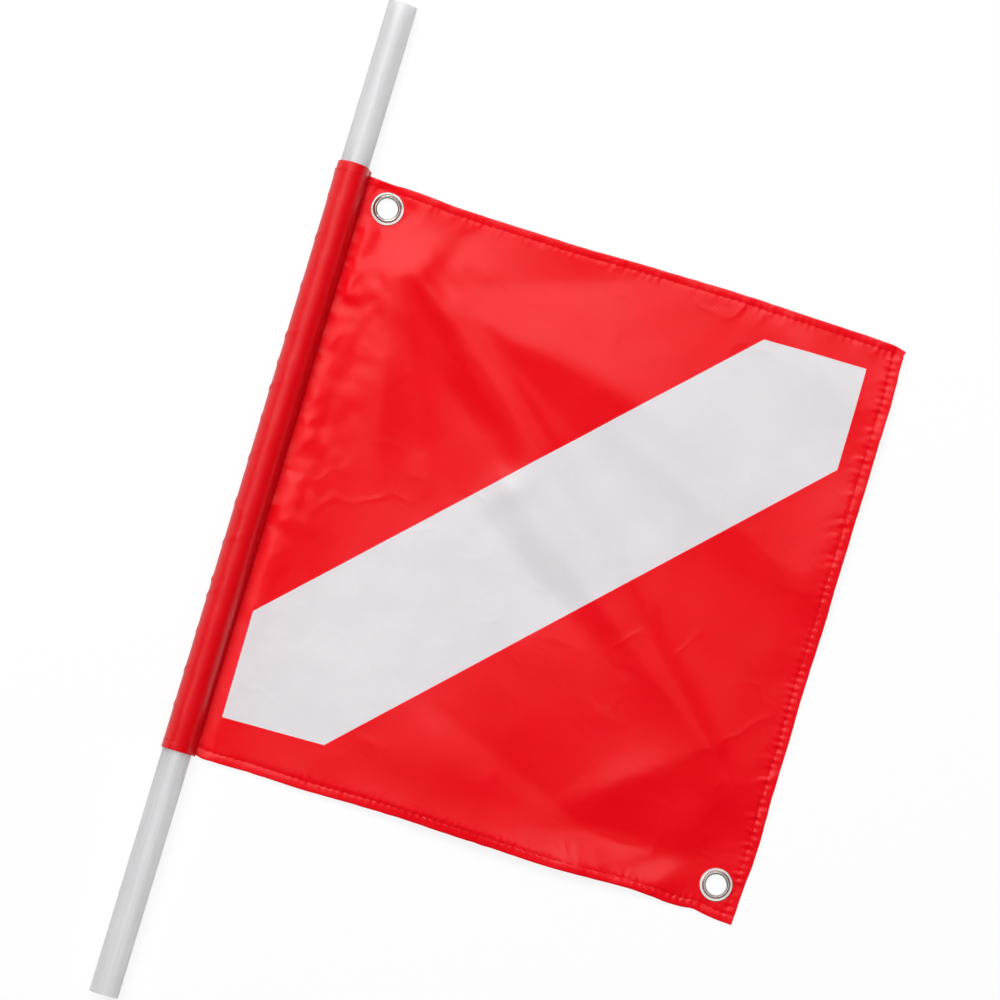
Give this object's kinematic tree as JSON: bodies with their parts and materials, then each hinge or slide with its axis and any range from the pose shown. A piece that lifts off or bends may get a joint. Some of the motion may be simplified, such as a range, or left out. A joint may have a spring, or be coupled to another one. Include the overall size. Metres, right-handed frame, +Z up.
{
  "type": "divers' flag on a pole",
  "caption": "Square nylon flag with a diagonal band, sleeved on a hollow plastic tube pole, with hemmed edges and two corner eyelets.",
  "frame": {"origin": "under the middle of the object's box, on the surface that it lies on", "axes": "+Y along the pole towards the end nearer the flag's top, +X from the pole towards the flag's free edge, +Z up off the surface"},
  "size_m": [0.304, 0.525, 0.0172],
  "materials": {
    "milky_plastic": "satin translucent tube",
    "red_nylon": "satin woven nylon",
    "white_nylon": "satin woven nylon",
    "nickel": "bright nickel plate"
  },
  "bodies": {
    "pole": {"pole_tube": "milky_plastic"},
    "sleeve": {"pole_sleeve": "red_nylon", "sleeve_top_hem": "red_nylon", "sleeve_bottom_hem": "red_nylon"},
    "flag": {"flag_panel": "red_nylon", "white_stripe": "white_nylon", "top_hem": "red_nylon", "bottom_hem": "red_nylon", "fly_hem": "red_nylon", "upper_eyelet": "nickel", "upper_washer": "nickel", "lower_eyelet": "nickel", "lower_washer": "nickel"}
  },
  "joints": [
    {"name": "sleeve_slide", "type": "slide", "parent": "pole", "child": "sleeve", "axis": [0, 1, 0], "range_m": [-0.128, 0.4]},
    {"name": "seam_bend", "type": "hinge", "parent": "sleeve", "child": "flag", "pos_m": [-0.13385, 0, 0.00105], "axis": [0, -1, 0], "range_deg": [-90, 80]}
  ]
}
